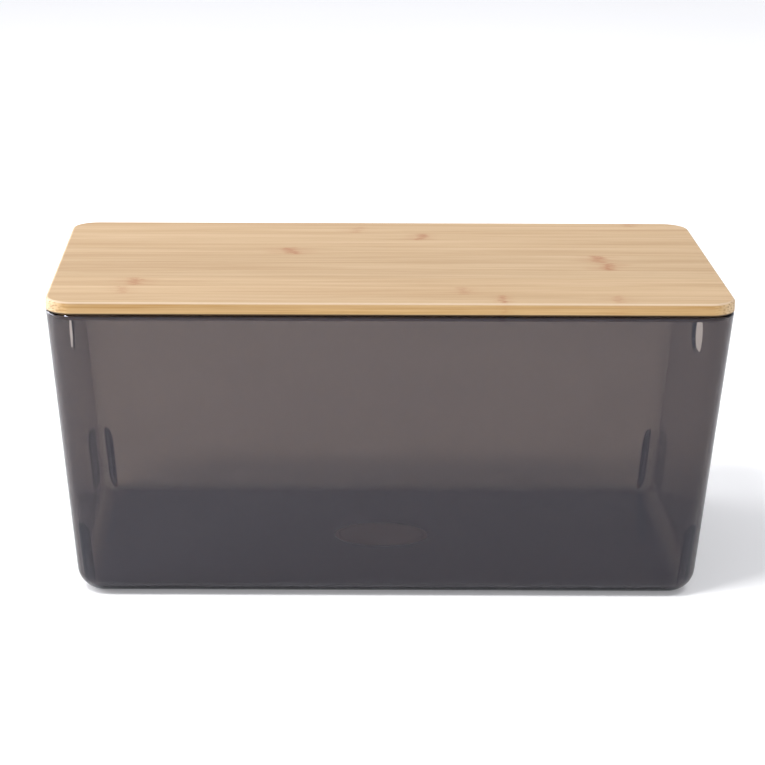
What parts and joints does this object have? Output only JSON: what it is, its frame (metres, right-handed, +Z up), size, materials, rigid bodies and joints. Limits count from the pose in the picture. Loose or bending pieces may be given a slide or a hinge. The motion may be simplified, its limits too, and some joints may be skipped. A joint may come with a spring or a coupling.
{
  "type": "bread bin",
  "caption": "Long rectangular tapered box of translucent smoky plastic with a lift-off bamboo board lid and an oval finger hole in each end wall.",
  "frame": {"origin": "centre of the base, on the surface that the bin stands on", "axes": "+Z up, +X along the long side, the front of the bin faces -Y"},
  "size_m": [0.34, 0.18, 0.1548],
  "materials": {
    "smoke_plastic": "glossy translucent grey-brown moulded plastic",
    "label_film": "pale satin film label with no print",
    "bamboo": "natural pale bamboo strips, edge-glued, satin"
  },
  "bodies": {
    "bin": {"bin_body": "smoke_plastic", "floor_label": "label_film"},
    "lid": {"lid_strip_01": "bamboo", "lid_strip_02": "bamboo", "lid_strip_03": "bamboo", "lid_strip_04": "bamboo", "lid_strip_05": "bamboo", "lid_strip_06": "bamboo", "lid_strip_07": "bamboo", "lid_strip_08": "bamboo", "lid_strip_09": "bamboo", "lid_strip_10": "bamboo", "lid_strip_11": "bamboo"}
  },
  "joints": [
    {"name": "lid_lift", "type": "slide", "parent": "bin", "child": "lid", "axis": [0, 0, 1], "range_m": [0, 0.15]}
  ]
}
